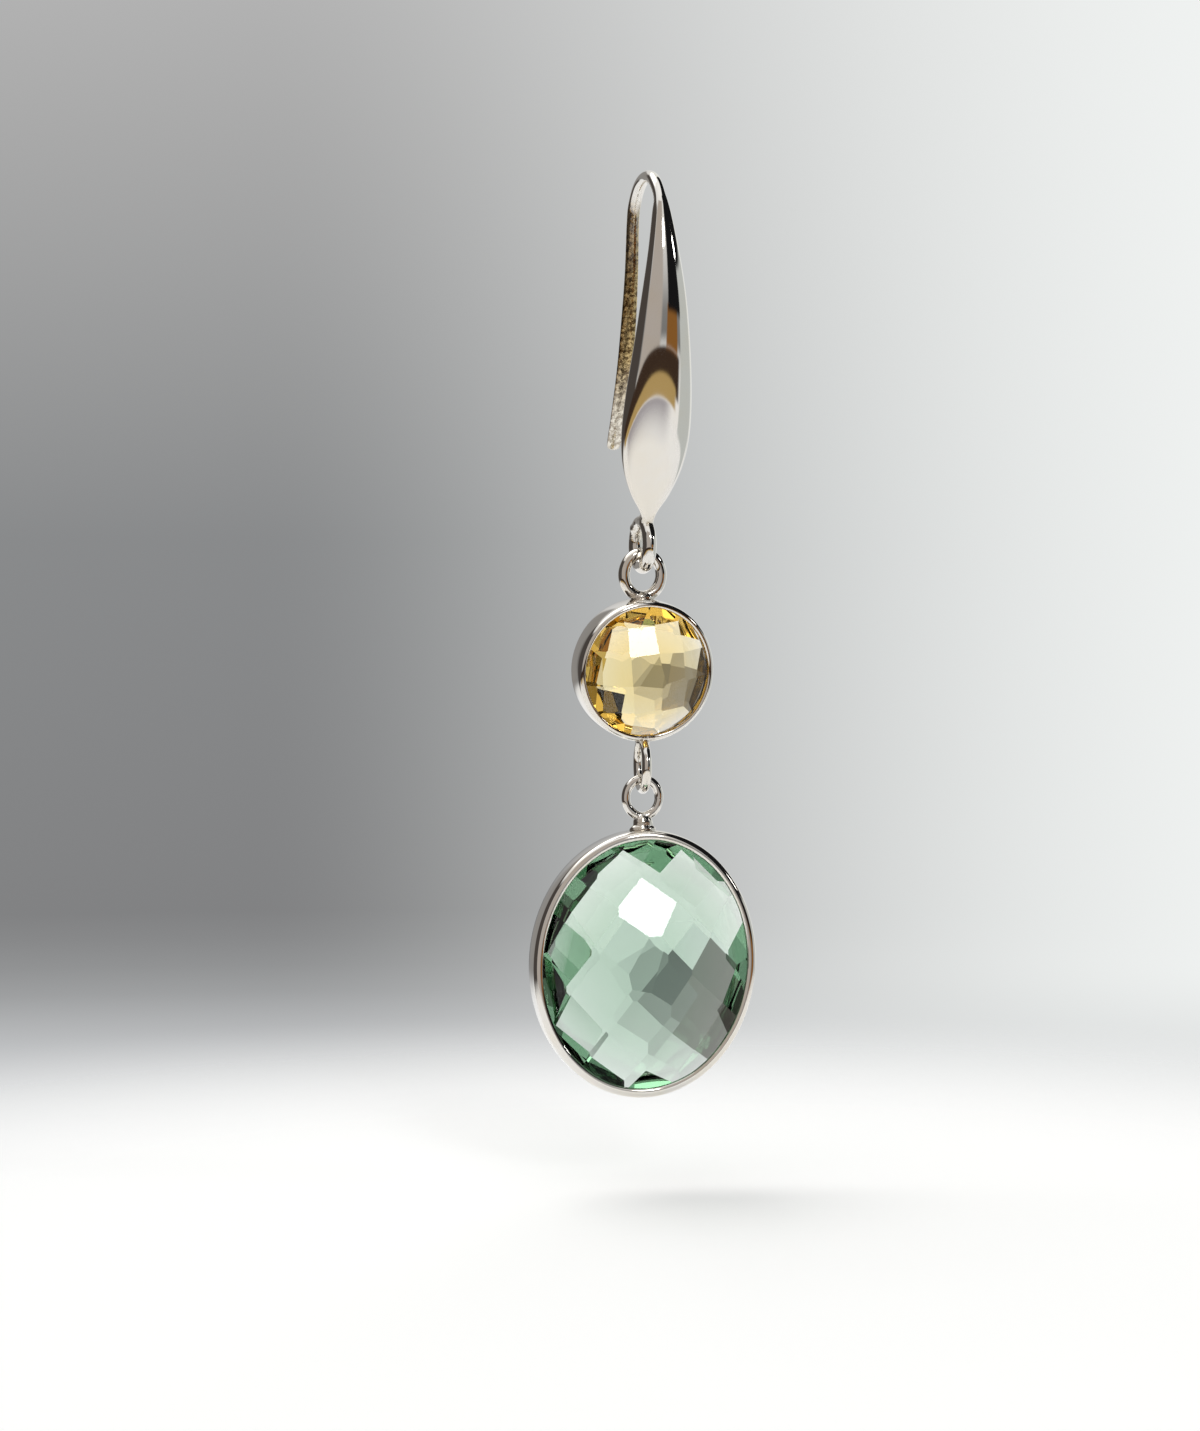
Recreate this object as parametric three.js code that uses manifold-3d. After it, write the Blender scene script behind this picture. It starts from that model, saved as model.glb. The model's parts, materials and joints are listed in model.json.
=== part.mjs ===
// Drop earring on an ear hook: a leaf-shaped hook, a round stone in a bezel, and an oval stone in a
// bezel, each hanging from the one above by soldered rings.
// Millimetres. +Z up, -Y towards the viewer, +X to the viewer's right.
// The origin is the inside of the hook's bend, where the earring hangs in the ear.
import * as THREE from 'three';
import { mergeVertices } from 'three/addons/utils/BufferGeometryUtils.js';
import Module from 'manifold-3d';

const wasm = await Module();
wasm.setup();

// Ear hook
const WIRE_RADIUS = 0.4;
const BEND_RADIUS = 3.0; // of the wire's centre line
const HOOK_STEPS = 52;
const HOOK_SIDES = 18;
const HOOK_RING = { y: 0.9, z: -22.85, radius: 1.45, wire: 0.45 };
const SEAM_KNOB = { y: 1.95, z: -21.85, radius: 0.56 };

// Rings and settings below the hook
const RING_GAP = 0.08; // between one ring's wire and the next where they hang on each other
const ROUND_RING = { width: 1.24, height: 1.38, wire: 0.37 };
const LOWER_RING = { radius: 1.52, wire: 0.31 };
const OVAL_RING = { width: 1.08, height: 1.2, wire: 0.29 };
const SOLDER_OVERLAP = 0.22; // how far a ring's wire is sunk in its bezel
const LOWER_RING_TWIST = THREE.MathUtils.degToRad(-7); // the oval drop turns with it
const ROUND_TIP = THREE.MathUtils.degToRad(6); // the round bezel is soldered leaning a little forward
const OVAL_TIP = THREE.MathUtils.degToRad(-2);
const OVAL_ROLL = THREE.MathUtils.degToRad(4.5); // the oval's top leans a little to the right

const ROUND_BEZEL = { a: 4.5, b: 4.55, depth: 2.3, wall: 0.28, lip: 0.43, fold: 0.34 };
const OVAL_BEZEL = { a: 7.25, b: 8.58, depth: 2.7, wall: 0.33, lip: 0.62, fold: 0.36 };
const STONE_GAP = 0.08; // between a stone's girdle and its bezel's wall
// The facets lie on a lattice: step and other lead from one facet to the next, and start is
// the facet nearest the middle, each as [across, up].
// Front and back are how far the two domes stand out from the middle of the girdle.
const ROUND_CUT = {
  front: 2.1, back: 1.4, girdle: 0.3, step: [1.78, 0.12], other: [-0.2, 1.8], start: [-0.35, 0.25], sides: 40,
};
const OVAL_CUT = {
  front: 2.95, back: 2.7, girdle: 0.4, step: [1.16, 2.48], other: [-2.35, 1.84], start: [0.91, -0.6], sides: 48,
};
const NECK = { top: 0.5, foot: 0.8, length: 0.6 }; // of solder, between the oval's ring and its bezel

const SILVER = { color: 0xdedbd4, roughness: 0.12, metalness: 1.0 };
const CITRINE = { color: 0xe0a52c, roughness: 0.03, metalness: 0.0 };
const PRASIOLITE = { color: 0xa9c9b4, roughness: 0.03, metalness: 0.0 };

// Geometry helpers

function solidOf(geometry) {
  const bare = geometry.index ? geometry.clone() : geometry.clone().toNonIndexed();
  bare.deleteAttribute('normal');
  bare.deleteAttribute('uv');
  const merged = mergeVertices(bare, 1e-3);
  const mesh = new wasm.Mesh({
    numProp: 3,
    vertProperties: Float32Array.from(merged.attributes.position.array),
    triVerts: Uint32Array.from(merged.index.array),
  });
  return new wasm.Manifold(mesh);
}

function geometryOf(solid) {
  const { vertProperties, triVerts } = solid.getMesh();
  const geometry = new THREE.BufferGeometry();
  geometry.setAttribute('position', new THREE.BufferAttribute(vertProperties, 3));
  geometry.setIndex(new THREE.BufferAttribute(triVerts, 1));
  geometry.computeVertexNormals();
  return geometry;
}

function joined(geometries) {
  const solids = geometries.map(solidOf);
  return geometryOf(solids.reduce((whole, solid) => whole.add(solid)));
}

function mapVertices(geometry, place) {
  const position = geometry.attributes.position;
  const point = new THREE.Vector3();
  for (let i = 0; i < position.count; i += 1) {
    point.fromBufferAttribute(position, i);
    place(point);
    position.setXYZ(i, point.x, point.y, point.z);
  }
  return geometry;
}

// A wire ring. facing 'front' lies in the XZ plane and 'side' in the YZ plane.
function wireRing({ width, height, wire, facing }) {
  const ring = new THREE.TorusGeometry(1, 0.2, 10, 26);
  mapVertices(ring, (p) => {
    const angle = Math.atan2(p.y, p.x);
    const out = ((Math.hypot(p.x, p.y) - 1) / 0.2) * wire;
    const deep = (p.z / 0.2) * wire;
    p.set((width + out) * Math.cos(angle), (height + out) * Math.sin(angle), deep);
  });
  ring.rotateX(Math.PI / 2);
  return facing === 'side' ? ring.rotateZ(Math.PI / 2) : ring;
}

// Ear hook: a lofted leaf, bend and tail, with the ring under its tip.
// Each section is a half-width across X, and how far the metal stands out in front of the centre
// line and behind it.
const LEAF = [
  { y: 0.1, z: -21.5, half: 0.42, front: 0.42, back: 0.42 },
  { y: -0.25, z: -20.8, half: 0.55, front: 0.5, back: 0.45 },
  { y: -0.62, z: -19.6, half: 1.3, front: 0.72, back: 0.42 },
  { y: -1.12, z: -17.9, half: 1.96, front: 0.98, back: 0.36 },
  { y: -1.72, z: -15.9, half: 2.24, front: 1.16, back: 0.32 },
  { y: -2.38, z: -13.4, half: 2.16, front: 1.2, back: 0.3 },
  { y: -3.05, z: -10.4, half: 1.84, front: 1.08, back: 0.3 },
  { y: -3.42, z: -7.4, half: 1.46, front: 0.9, back: 0.32 },
  { y: -3.38, z: -4.6, half: 1.02, front: 0.66, back: 0.36 },
];
const TAIL = [
  { y: 3.28, z: -5.4, half: 0.44, front: 0.32, back: 0.32 },
  { y: 3.9, z: -8.6, half: 0.5, front: 0.26, back: 0.26 },
  { y: 4.85, z: -11.8, half: 0.52, front: 0.24, back: 0.24 },
  { y: 6.1, z: -14.6, half: 0.52, front: 0.24, back: 0.24 },
  { y: 7.1, z: -16.3, half: 0.46, front: 0.22, back: 0.22 },
  { y: 7.28, z: -16.62, half: 0.24, front: 0.12, back: 0.12 },
];

function bendSections() {
  const sections = [];
  for (const degrees of [172, 150, 120, 90, 60, 30, 5]) {
    const angle = THREE.MathUtils.degToRad(degrees);
    sections.push({
      y: BEND_RADIUS * Math.cos(angle),
      z: BEND_RADIUS * Math.sin(angle) - BEND_RADIUS + WIRE_RADIUS,
      half: degrees > 160 ? 0.62 : WIRE_RADIUS,
      front: degrees > 160 ? 0.5 : WIRE_RADIUS,
      back: WIRE_RADIUS,
    });
  }
  return sections;
}

function hookGeometry() {
  const sections = [...LEAF, ...bendSections(), ...TAIL];
  const centre = new THREE.CatmullRomCurve3(
    sections.map(({ y, z }) => new THREE.Vector3(0, y, z)), false, 'catmullrom', 0.5);
  const size = new THREE.CatmullRomCurve3(
    sections.map(({ half, front, back }) => new THREE.Vector3(half, front, back)), false, 'catmullrom', 0.5);
  const loft = new THREE.CylinderGeometry(1, 1, 1, HOOK_SIDES, HOOK_STEPS);
  const across = new THREE.Vector3(1, 0, 0);
  mapVertices(loft, (p) => {
    const along = THREE.MathUtils.clamp(0.5 - p.y, 0, 1);
    const spine = centre.getPoint(along);
    const outward = centre.getTangent(along).cross(across).negate();
    const { x: half, y: front, z: back } = size.getPoint(along);
    const aside = -p.x * half;
    const stand = p.z > 0 ? p.z * front : p.z * back;
    p.copy(spine).addScaledVector(across, aside).addScaledVector(outward, stand);
  });
  const ring = wireRing({
    width: HOOK_RING.radius, height: HOOK_RING.radius, wire: HOOK_RING.wire, facing: 'side',
  }).translate(0, HOOK_RING.y, HOOK_RING.z);
  const knob = new THREE.SphereGeometry(SEAM_KNOB.radius, 12, 8).translate(0, SEAM_KNOB.y, SEAM_KNOB.z);
  return joined([loft, ring, knob]);
}

// Bezel: an oval band, its lips folded over the stone at the front and the back.
function bezelGeometry({ a, b, depth, wall, lip, fold }) {
  const half = depth / 2;
  const profile = [
    { out: -wall, y: -half + fold },
    { out: -lip, y: -half + fold * 0.7 },
    { out: -lip * 0.8, y: -half },
    { out: -lip * 0.32, y: -half + fold * 0.12 },
    { out: 0, y: -half + fold * 0.9 },
    { out: 0, y: half - fold * 0.9 },
    { out: -lip * 0.32, y: half - fold * 0.12 },
    { out: -lip * 0.8, y: half },
    { out: -lip, y: half - fold * 0.7 },
    { out: -wall, y: half - fold },
  ];
  const reach = 10;
  const points = [...profile, profile[0]].map(({ out, y }) => new THREE.Vector2(reach + out, y));
  const band = new THREE.LatheGeometry(points, 64);
  return mapVertices(band, (p) => {
    const angle = Math.atan2(p.z, p.x);
    const out = Math.hypot(p.x, p.z) - reach;
    p.set((a + out) * Math.cos(angle), p.y, (b + out) * Math.sin(angle));
  });
}

// Stone: an oval block trimmed on both faces by planes that touch a domed surface at the points of
// a square lattice, which leaves a chequer of facets.
function stoneGeometry(bezel, cut) {
  const a = bezel.a - bezel.wall - STONE_GAP;
  const b = bezel.b - bezel.wall - STONE_GAP;
  const thickness = cut.front + cut.back;
  const block = new THREE.CylinderGeometry(1, 1, thickness, cut.sides)
    .scale(a, 1, b)
    .translate(0, cut.back - thickness / 2, 0);
  let stone = solidOf(block);
  const reach = 2 * Math.ceil(b / Math.hypot(...cut.step));
  for (let i = -reach; i <= reach; i += 1) {
    for (let j = -reach; j <= reach; j += 1) {
      const x = cut.start[0] + i * cut.step[0] + j * cut.other[0];
      const z = cut.start[1] + i * cut.step[1] + j * cut.other[1];
      const share = (x / a) ** 2 + (z / b) ** 2;
      if (share > 1.15) continue;
      for (const [side, crown] of [[-1, cut.front], [1, cut.back]]) {
        const rise = crown - cut.girdle / 2;
        const height = cut.girdle / 2 + rise * (1 - share);
        const slope = new THREE.Vector2((-2 * rise * x) / a ** 2, (-2 * rise * z) / b ** 2);
        const offset = height - slope.x * x - slope.y * z;
        const normal = new THREE.Vector3(slope.x, -side, slope.y);
        const length = normal.length();
        stone = stone.trimByPlane(normal.divideScalar(length).toArray(), -offset / length);
      }
    }
  }
  return geometryOf(stone);
}

// Round setting: bezel, the ring above it and the ring below it.
function roundSettingGeometry(ringCentre, centre, lowerCentre) {
  const bezel = bezelGeometry(ROUND_BEZEL).rotateX(ROUND_TIP).translate(0, 0, centre);
  const ring = wireRing({ ...ROUND_RING, facing: 'front' }).translate(0, 0, ringCentre);
  const lower = wireRing({
    width: LOWER_RING.radius, height: LOWER_RING.radius, wire: LOWER_RING.wire, facing: 'side',
  }).rotateZ(LOWER_RING_TWIST).translate(0, 0, lowerCentre);
  return joined([bezel, ring, lower]);
}

// Oval setting: bezel, the ring above it and the solder neck between them.
function ovalSettingGeometry(ringCentre, centre) {
  const bezel = bezelGeometry(OVAL_BEZEL).rotateY(OVAL_ROLL).rotateX(OVAL_TIP).translate(0, 0, centre);
  const ring = wireRing({ ...OVAL_RING, facing: 'front' }).translate(0, 0, ringCentre);
  const neck = new THREE.CylinderGeometry(NECK.top, NECK.foot, NECK.length + 2 * SOLDER_OVERLAP, 14)
    .rotateX(Math.PI / 2)
    .translate(0, 0, centre + OVAL_BEZEL.b + NECK.length / 2);
  return joined([bezel, ring, neck]);
}

function part(name, geometry, finish) {
  const mesh = new THREE.Mesh(geometry, new THREE.MeshStandardMaterial(finish));
  mesh.name = name;
  return mesh;
}

// Heights, worked down from the hook's ring: each ring hangs on the wire above with a small gap.
const roundPivot = HOOK_RING.z - HOOK_RING.radius;
const roundRingCentre = roundPivot + HOOK_RING.wire + RING_GAP + ROUND_RING.wire - ROUND_RING.height;
const roundCentre = roundRingCentre - ROUND_RING.height - ROUND_RING.wire + SOLDER_OVERLAP - ROUND_BEZEL.b;
const lowerRingCentre = roundCentre - ROUND_BEZEL.b + SOLDER_OVERLAP - LOWER_RING.wire - LOWER_RING.radius;
const ovalPivot = lowerRingCentre - LOWER_RING.radius;
const ovalRingCentre = ovalPivot + LOWER_RING.wire + RING_GAP + OVAL_RING.wire - OVAL_RING.height;
const ovalCentre = ovalRingCentre - OVAL_RING.height - OVAL_RING.wire - NECK.length - OVAL_BEZEL.b;

const earring = new THREE.Group();
earring.add(part('ear_hook', hookGeometry(), SILVER));

const roundDrop = new THREE.Group();
roundDrop.position.y = HOOK_RING.y;
const roundStone = stoneGeometry(ROUND_BEZEL, ROUND_CUT).rotateX(ROUND_TIP).translate(0, 0, roundCentre);
roundDrop.add(part('round_setting', roundSettingGeometry(roundRingCentre, roundCentre, lowerRingCentre), SILVER));
roundDrop.add(part('round_stone', roundStone, CITRINE));
earring.add(roundDrop);

const ovalDrop = new THREE.Group();
ovalDrop.position.y = HOOK_RING.y;
ovalDrop.rotation.z = LOWER_RING_TWIST;
const ovalStone = stoneGeometry(OVAL_BEZEL, OVAL_CUT)
  .rotateY(OVAL_ROLL).rotateX(OVAL_TIP).translate(0, 0, ovalCentre);
ovalDrop.add(part('oval_setting', ovalSettingGeometry(ovalRingCentre, ovalCentre), SILVER));
ovalDrop.add(part('oval_stone', ovalStone, PRASIOLITE));
earring.add(ovalDrop);

export default earring;
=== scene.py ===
"""Drop earring: the finish of every piece, the stage, the light and the camera.

A leaf-shaped ear hook carries a round yellow stone in a bezel, which carries an oval pale green
stone in a bezel. Lengths in the tables are millimetres, except where MM or a comment says metres.
+Z is up, -Y is towards the viewer, and the origin is the inside of the hook's bend.
"""

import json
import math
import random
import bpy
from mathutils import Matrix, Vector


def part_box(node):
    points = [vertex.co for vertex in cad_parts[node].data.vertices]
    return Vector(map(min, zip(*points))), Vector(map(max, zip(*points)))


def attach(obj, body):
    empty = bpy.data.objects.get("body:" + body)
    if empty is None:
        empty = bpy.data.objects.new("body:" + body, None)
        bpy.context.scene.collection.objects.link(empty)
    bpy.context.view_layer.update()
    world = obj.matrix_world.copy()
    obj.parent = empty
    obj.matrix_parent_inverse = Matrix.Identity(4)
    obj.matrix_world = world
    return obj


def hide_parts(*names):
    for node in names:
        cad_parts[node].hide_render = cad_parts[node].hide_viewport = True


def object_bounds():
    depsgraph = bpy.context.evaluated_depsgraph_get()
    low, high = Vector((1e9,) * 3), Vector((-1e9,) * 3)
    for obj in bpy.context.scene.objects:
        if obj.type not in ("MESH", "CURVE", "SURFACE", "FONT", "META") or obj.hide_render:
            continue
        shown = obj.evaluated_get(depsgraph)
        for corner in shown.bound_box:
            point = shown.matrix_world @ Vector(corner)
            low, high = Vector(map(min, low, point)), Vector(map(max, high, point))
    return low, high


bl_info = {
    "name": "Drop Earring",
    "version": (1, 0, 0),
    "blender": (4, 5, 0),
    "location": "View3D > Sidebar > Earring",
    "description": "Builds a drop earring with two faceted stones on an ear hook",
    "category": "Add Mesh",
}

import bmesh
import bpy
from bpy.props import FloatProperty, FloatVectorProperty, PointerProperty
from mathutils import Matrix, Vector

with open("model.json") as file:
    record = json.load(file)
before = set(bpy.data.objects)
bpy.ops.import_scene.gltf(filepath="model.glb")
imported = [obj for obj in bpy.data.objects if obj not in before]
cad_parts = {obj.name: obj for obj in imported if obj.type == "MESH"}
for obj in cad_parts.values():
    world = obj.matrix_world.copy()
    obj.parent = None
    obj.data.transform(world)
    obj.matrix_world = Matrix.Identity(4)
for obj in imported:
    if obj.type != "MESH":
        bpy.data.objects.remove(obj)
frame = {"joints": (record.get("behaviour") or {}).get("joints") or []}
CAD_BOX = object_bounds()

MM = 0.001
JOINTS = {joint["name"]: joint for joint in frame["joints"]}
ROUND_PIVOT = Vector(JOINTS["round_swing"]["pos_m"])
OVAL_PIVOT = Vector(JOINTS["oval_swing"]["pos_m"])
OVAL_TURN = -math.atan2(JOINTS["oval_swing"]["axis"][0], JOINTS["oval_swing"]["axis"][1])
LEFT_TO_RIGHT = Vector((1, 0, 0))

# The hook's sections, from the leaf's tip up to the bend, and from the bend down the tail:
# y, z, half the width, and how far the metal stands out in front of and behind the centre line.
LEAF_SECTIONS = (
    {"y": 0.1, "z": -21.5, "half": 0.42, "front": 0.42, "back": 0.42},
    {"y": -0.25, "z": -20.8, "half": 0.55, "front": 0.5, "back": 0.45},
    {"y": -0.62, "z": -19.6, "half": 1.3, "front": 0.72, "back": 0.42},
    {"y": -1.12, "z": -17.9, "half": 1.96, "front": 0.98, "back": 0.36},
    {"y": -1.72, "z": -15.9, "half": 2.24, "front": 1.16, "back": 0.32},
    {"y": -2.38, "z": -13.4, "half": 2.16, "front": 1.2, "back": 0.3},
    {"y": -3.05, "z": -10.4, "half": 1.84, "front": 1.08, "back": 0.3},
    {"y": -3.42, "z": -7.4, "half": 1.46, "front": 0.9, "back": 0.32},
    {"y": -3.38, "z": -4.6, "half": 1.02, "front": 0.66, "back": 0.36},
)
TAIL_SECTIONS = (
    {"y": 3.28, "z": -5.4, "half": 0.44, "front": 0.32, "back": 0.32},
    {"y": 3.9, "z": -8.6, "half": 0.5, "front": 0.26, "back": 0.26},
    {"y": 4.85, "z": -11.8, "half": 0.52, "front": 0.24, "back": 0.24},
    {"y": 6.1, "z": -14.6, "half": 0.52, "front": 0.24, "back": 0.24},
    {"y": 7.1, "z": -16.3, "half": 0.46, "front": 0.22, "back": 0.22},
    {"y": 7.28, "z": -16.62, "half": 0.24, "front": 0.12, "back": 0.12},
)
BEND_DEGREES = (172, 150, 120, 90, 60, 30, 5)
FLARE = {"from_degrees": 160, "half": 0.62, "front": 0.5}  # where the bend widens into the leaf


# Sizes and colours a user may change


class EarringSizes(bpy.types.PropertyGroup):
    """Sizes of the metal pieces."""

    wire: FloatProperty(
        name="Hook wire", description="Radius of the wire at the bend", default=0.4 * MM, unit="LENGTH"
    )
    bend: FloatProperty(
        name="Bend", description="Radius of the bend's centre line", default=3.0 * MM, unit="LENGTH"
    )
    hook_ring: FloatProperty(
        name="Hook ring",
        description="Radius of the ring under the leaf",
        default=1.45 * MM,
        unit="LENGTH",
    )
    hook_ring_wire: FloatProperty(
        name="Hook ring wire", description="Radius of that ring's wire", default=0.45 * MM, unit="LENGTH"
    )
    round_depth: FloatProperty(
        name="Round bezel depth", description="Front to back", default=2.3 * MM, unit="LENGTH"
    )
    oval_depth: FloatProperty(
        name="Oval bezel depth", description="Front to back", default=2.7 * MM, unit="LENGTH"
    )
    round_tip: FloatProperty(
        name="Round bezel tip",
        description="How far it leans forward",
        default=math.radians(6),
        unit="ROTATION",
    )
    oval_tip: FloatProperty(
        name="Oval bezel tip",
        description="How far it leans forward",
        default=math.radians(-2),
        unit="ROTATION",
    )
    oval_roll: FloatProperty(
        name="Oval bezel roll",
        description="How far its top leans right",
        default=math.radians(4.5),
        unit="ROTATION",
    )


class EarringColours(bpy.types.PropertyGroup):
    """Colours of the metal, the stones and the stage."""

    metal: FloatVectorProperty(
        name="Metal",
        description="Polished metal",
        subtype="COLOR",
        size=3,
        default=(0.77, 0.745, 0.705),
    )
    yellow: FloatVectorProperty(
        name="Yellow stone",
        description="What it lets through",
        subtype="COLOR",
        size=3,
        default=(0.94, 0.75, 0.09),
    )
    yellow_depth: FloatProperty(
        name="Yellow depth", description="Strength of the yellow stone's colour", default=270.0
    )
    green: FloatVectorProperty(
        name="Green stone",
        description="What it lets through",
        subtype="COLOR",
        size=3,
        default=(0.45, 0.685, 0.515),
    )
    green_depth: FloatProperty(
        name="Green depth", description="Strength of the green stone's colour", default=180.0
    )
    floor: FloatVectorProperty(
        name="Floor",
        description="Pale floor",
        subtype="COLOR",
        size=3,
        default=(0.92, 0.93, 0.93),
    )


# Shader expressions


class Value:
    """One output socket of a node. Arithmetic on it adds Math nodes."""

    def __init__(self, graph, socket):
        self.graph = graph
        self.socket = socket

    def math(self, operation, *others):
        inputs = dict(enumerate((self, *others)))
        return self.graph.add("ShaderNodeMath", {"operation": operation}, inputs)

    def __add__(self, other):
        return self.math("ADD", other)

    def __mul__(self, other):
        return self.math("MULTIPLY", other)

    def __sub__(self, other):
        return self.math("SUBTRACT", other)

    def __rsub__(self, other):
        return self.graph.add("ShaderNodeMath", {"operation": "SUBTRACT"}, {0: other, 1: self})

    __radd__ = __add__
    __rmul__ = __mul__

    def smooth(self, low, high):
        """0 below low and 1 above high, or the other way round when low is the larger."""
        settings = {"interpolation_type": "SMOOTHSTEP"}
        inputs = {"Value": self, "From Min": low, "From Max": high}
        return self.graph.add("ShaderNodeMapRange", settings, inputs)


class Graph:
    """A node tree, emptied, and the one way to add a node to it."""

    def __init__(self, tree):
        self.tree = tree
        tree.nodes.clear()

    def add(self, kind, settings=None, inputs=None, output=0):
        node = self.tree.nodes.new(kind)
        for name, value in (settings or {}).items():
            if name == "stops":
                self.set_stops(node.color_ramp, value)
            else:
                setattr(node, name, value)
        for name, value in (inputs or {}).items():
            socket = node.inputs[name]
            if isinstance(value, Value):
                self.tree.links.new(value.socket, socket)
            else:
                socket.default_value = value
        return Value(self, node.outputs[output]) if node.outputs else node

    @staticmethod
    def set_stops(ramp, stops):
        while len(ramp.elements) < len(stops):
            ramp.elements.new(1.0)
        for element, (position, colour) in zip(ramp.elements, stops):
            element.position = position
            element.color = (*colour, 1.0)

    def place(self):
        """Where a point of the surface is, in the object's own metres."""
        return self.add("ShaderNodeTexCoord", output="Object")

    def noise(self, vector, scale, detail=3.0, roughness=0.5):
        inputs = {"Vector": vector, "Scale": scale, "Detail": detail, "Roughness": roughness}
        return self.add("ShaderNodeTexNoise", {}, inputs)

    def vector_math(self, operation, first, second, output=0):
        inputs = {0: first, 1: second}
        return self.add("ShaderNodeVectorMath", {"operation": operation}, inputs, output)

    def scaled(self, vector, factors):
        return self.vector_math("MULTIPLY", vector, factors)

    def part(self, vector, axis):
        """One coordinate of a vector, by its letter."""
        return self.add("ShaderNodeSeparateXYZ", {}, {0: vector}, axis)

    def near(self, vector, point, radius):
        """1 round a point, falling to 0 at radius."""
        distance = self.vector_math("DISTANCE", vector, point, "Value")
        return 1 - distance.smooth(radius * 0.35, radius)

    def mix(self, factor, first, second):
        settings = {"data_type": "RGBA"}
        return self.add("ShaderNodeMix", settings, {"Factor": factor, 6: first, 7: second}, 2)


def rgba(colour, factors=(1.0, 1.0, 1.0)):
    return (*(channel * factor for channel, factor in zip(colour, factors)), 1.0)


# How often the metal's patterns repeat, in noise cells a metre.
TONE_SCALE = 420.0
FINE_SCALE = 9000.0
STREAK_SCALE = 16000.0
LUMP_SCALE = 2600.0
GRIT_SCALE = 3400.0
# What the metal's colour is multiplied by where it is warmer, and where solder is dull.
WARMER = (1.0, 0.975, 0.93)
DULL = (0.78, 0.73, 0.64)
# The rough cast metal on the tail: its hollows and its high spots, darker and more golden towards the
# top and paler towards the bottom.
CAST_DARKER_ABOVE = {"hollow": (0.1, 0.06, 0.025), "high": (0.6, 0.45, 0.22)}
CAST_PALE = {"hollow": (0.42, 0.37, 0.3), "high": (0.8, 0.76, 0.68)}
CAST_FROM_Y = (1.8 * MM, 3.2 * MM)
DARKER_FROM_Z = (-15.5 * MM, -10.5 * MM)
QUARTZ_IOR = 1.544


def polished_metal(name, solder_points, cast_from_y=None):
    """Bright white metal: fine polishing lines, faint tone changes and duller, uneven solder.

    solder_points are rows of a point and the radius of the dull spot round it. cast_from_y is the
    range of y over which the polish gives way to rough cast metal.
    """
    material = bpy.data.materials.new(name)
    material.use_nodes = True
    graph = Graph(material.node_tree)
    colour = bpy.context.scene.earring_colours.metal
    place = graph.place()
    solder = None
    for point, radius in solder_points:
        spot = graph.near(place, point, radius)
        solder = spot if solder is None else solder.math("MAXIMUM", spot)
    tone = graph.noise(place, TONE_SCALE, 4.0)
    fine = graph.noise(place, FINE_SCALE, 4.0, 0.6)
    streaks = graph.noise(graph.scaled(place, (1.0, 1.0, 0.12)), STREAK_SCALE, 2.0)
    lumps = graph.noise(place, LUMP_SCALE, 3.0, 0.55)
    base = graph.mix(tone.smooth(0.35, 0.7), rgba(colour), rgba(colour, WARMER))
    base = graph.mix(solder * lumps.smooth(0.35, 0.65) * 0.75, base, rgba(colour, DULL))
    if cast_from_y is not None:
        cast = graph.part(place, "Y").smooth(*cast_from_y)
        # The tail's cast metal turns darker and more golden towards the top and paler towards the
        # bottom.
        upper = graph.part(place, "Z").smooth(*DARKER_FROM_Z)
        grit = graph.noise(place, GRIT_SCALE, 4.0, 0.7).smooth(0.4, 0.6)
        darker = graph.mix(grit, rgba(CAST_DARKER_ABOVE["hollow"]), rgba(CAST_DARKER_ABOVE["high"]))
        pale = graph.mix(grit, rgba(CAST_PALE["hollow"]), rgba(CAST_PALE["high"]))
        base = graph.mix(cast, base, graph.mix(upper, pale, darker))
        solder = solder.math("MAXIMUM", cast)
    polish = 0.035 + streaks * 0.03 + tone.smooth(0.45, 0.75) * 0.02
    roughness = polish + solder * (0.05 + lumps * 0.16)
    relief = (streaks + fine) * 0.007 + solder * lumps * 6.0
    bump = graph.add("ShaderNodeBump", {}, {"Strength": 0.5, "Distance": 0.02 * MM, "Height": relief})
    shader = graph.add(
        "ShaderNodeBsdfPrincipled",
        {},
        {"Base Color": base, "Metallic": 1.0, "Roughness": roughness, "Normal": bump},
    )
    graph.add("ShaderNodeOutputMaterial", {}, {"Surface": shader})
    return material


def clear_stone(name, lets_through, depth, grain):
    """A transparent stone whose colour deepens with the length of the light's way through it.

    grain is how often its faint zones of colour repeat, in noise cells a metre.
    """
    material = bpy.data.materials.new(name)
    material.use_nodes = True
    graph = Graph(material.node_tree)
    place = graph.place()
    zone = graph.noise(place, grain, 2.0)
    wisps = graph.noise(graph.scaled(place, (1.0, 1.0, 0.3)), grain * 9.0, 4.0, 0.6)
    faint = tuple(1.0 - 0.1 * (1.0 - channel) for channel in lets_through)
    base = graph.mix(zone.smooth(0.3, 0.7), rgba((1.0, 1.0, 1.0)), rgba(faint))
    roughness = wisps.smooth(0.66, 0.8) * 0.012
    shader = graph.add(
        "ShaderNodeBsdfPrincipled",
        {},
        {
            "Base Color": base,
            "Roughness": roughness,
            "IOR": QUARTZ_IOR,
            "Transmission Weight": 1.0,
        },
    )
    inside = {"Color": rgba(lets_through), "Density": depth}
    body = graph.add("ShaderNodeVolumeAbsorption", {}, inside)
    graph.add("ShaderNodeOutputMaterial", {}, {"Surface": shader, "Volume": body})
    return material


# Mesh tools


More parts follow.
